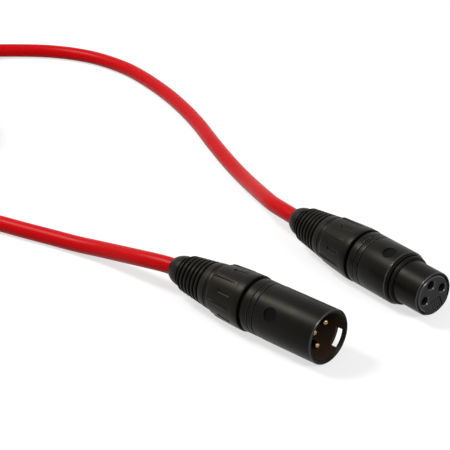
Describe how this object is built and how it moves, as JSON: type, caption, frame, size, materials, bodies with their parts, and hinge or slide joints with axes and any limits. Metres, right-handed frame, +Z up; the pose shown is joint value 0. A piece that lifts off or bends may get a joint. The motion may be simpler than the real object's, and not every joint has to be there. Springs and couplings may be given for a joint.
{
  "type": "microphone cable",
  "caption": "Microphone cable with a male and a female round connector on its ends, ribbed boots behind them, and the cable between them wound into a neat, tied coil.",
  "frame": {"origin": "on the table, under the middle of the two connectors' common bounding box", "axes": "+Z up, +X out of the front of the male connector, +Y from the male connector towards the female one"},
  "size_m": [0.3225, 0.1753, 0.0281],
  "materials": {
    "shell": "satin black coated die-cast metal",
    "insert": "matt moulded glass-filled plastic",
    "gold": "gold-plated, polished",
    "latch": "satin black coated die-cast metal",
    "spring": "bare spring steel",
    "chuck": "natural white plastic",
    "bushing": "satin black moulded plastic",
    "boot": "matt black elastomer",
    "jacket": "red flexible cable jacket with a soft sheen",
    "lead_white": "white conductor insulation",
    "lead_blue": "blue conductor insulation",
    "screen": "bare twisted copper",
    "tie": "black woven hook-and-loop strap"
  },
  "bodies": {
    "cable_assembly": {"male_shell": "shell", "male_insert": "insert", "male_pin_1": "gold", "male_pin_2": "gold", "male_pin_3": "gold", "male_chuck": "chuck", "male_bushing": "bushing", "male_boot": "boot", "male_lead_1": "lead_white", "male_lead_2": "lead_blue", "male_lead_3": "screen", "female_shell": "shell", "female_insert": "insert", "female_socket_1": "gold", "female_socket_2": "gold", "female_socket_3": "gold", "latch_spring": "spring", "female_chuck": "chuck", "female_bushing": "bushing", "female_boot": "boot", "female_lead_1": "lead_white", "female_lead_2": "lead_blue", "female_lead_3": "screen", "cable_run_male": "jacket", "cable_coil": "jacket", "cable_run_female": "jacket", "coil_tie": "tie"},
    "latch": {"latch": "latch"}
  },
  "joints": [
    {"name": "latch_press", "type": "hinge", "parent": "cable_assembly", "child": "latch", "pos_m": [0.03579, 0.02109, 0.00586], "axis": [0.1535, 0.9271, 0.342], "range_deg": [0, 6], "stiffness_Nm_per_rad": 0.1, "springref_deg": -8.59, "deforming": ["latch_spring"]}
  ]
}
